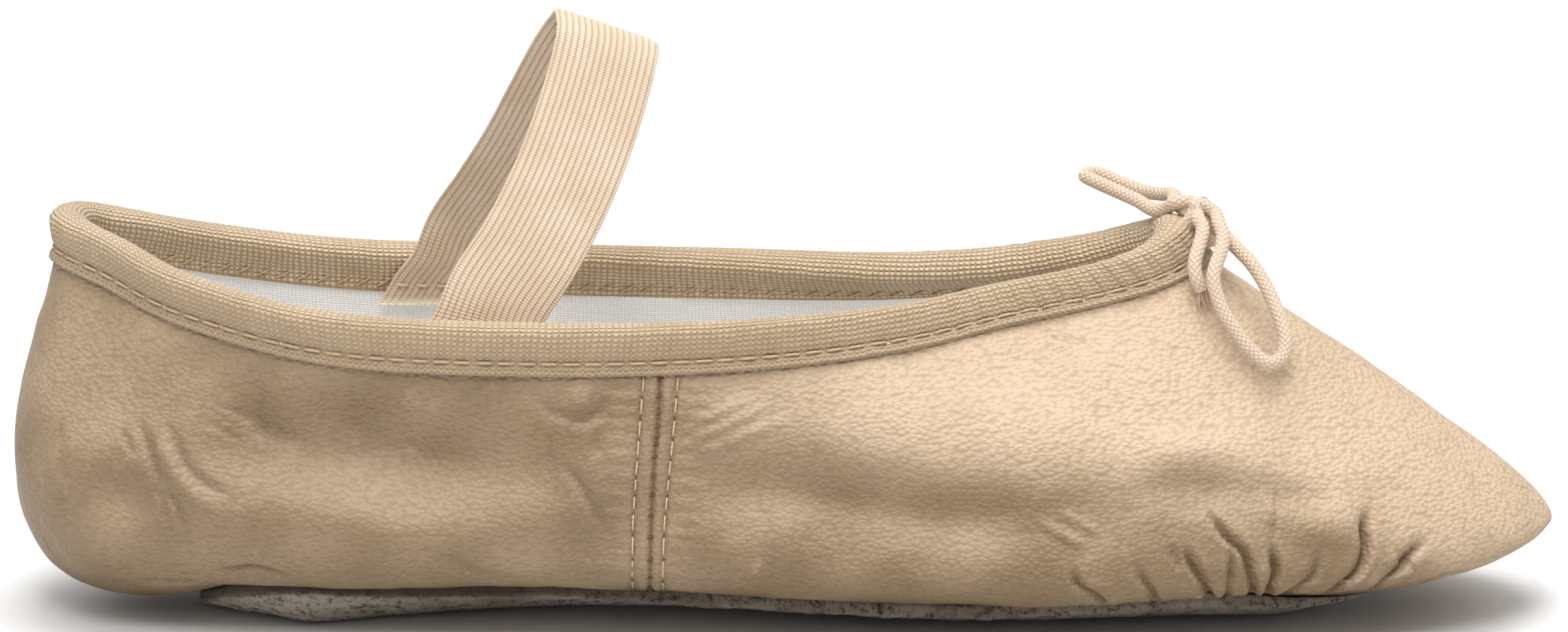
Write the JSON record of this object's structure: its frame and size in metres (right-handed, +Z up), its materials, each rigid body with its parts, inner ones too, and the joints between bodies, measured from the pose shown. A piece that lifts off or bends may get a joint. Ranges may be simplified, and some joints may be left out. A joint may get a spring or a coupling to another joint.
{
  "type": "ballet slipper",
  "caption": "Soft leather ballet slipper with a full suede outsole, canvas collar binding, elastic instep strap and a drawstring bow at the throat.",
  "frame": {"origin": "on the floor under the middle of the shoe", "axes": "+X towards the toe, +Y towards the side away from the camera, +Z up"},
  "size_m": [0.24, 0.0764, 0.095],
  "materials": {
    "upper_leather": "matt, fine grain",
    "outsole_suede": "napped suede",
    "insole_cotton": "plain cotton",
    "canvas_binding": "plain weave",
    "elastic_webbing": "ribbed elastic",
    "drawstring_cord": "braided"
  },
  "bodies": {
    "root": {"upper": "upper_leather", "outsole": "outsole_suede", "insole": "insole_cotton", "binding": "canvas_binding", "elastic_strap": "elastic_webbing", "bow_knot": "drawstring_cord", "bow_near_loop": "drawstring_cord", "bow_far_loop": "drawstring_cord", "bow_near_end": "drawstring_cord", "bow_far_end": "drawstring_cord"}
  },
  "joints": []
}
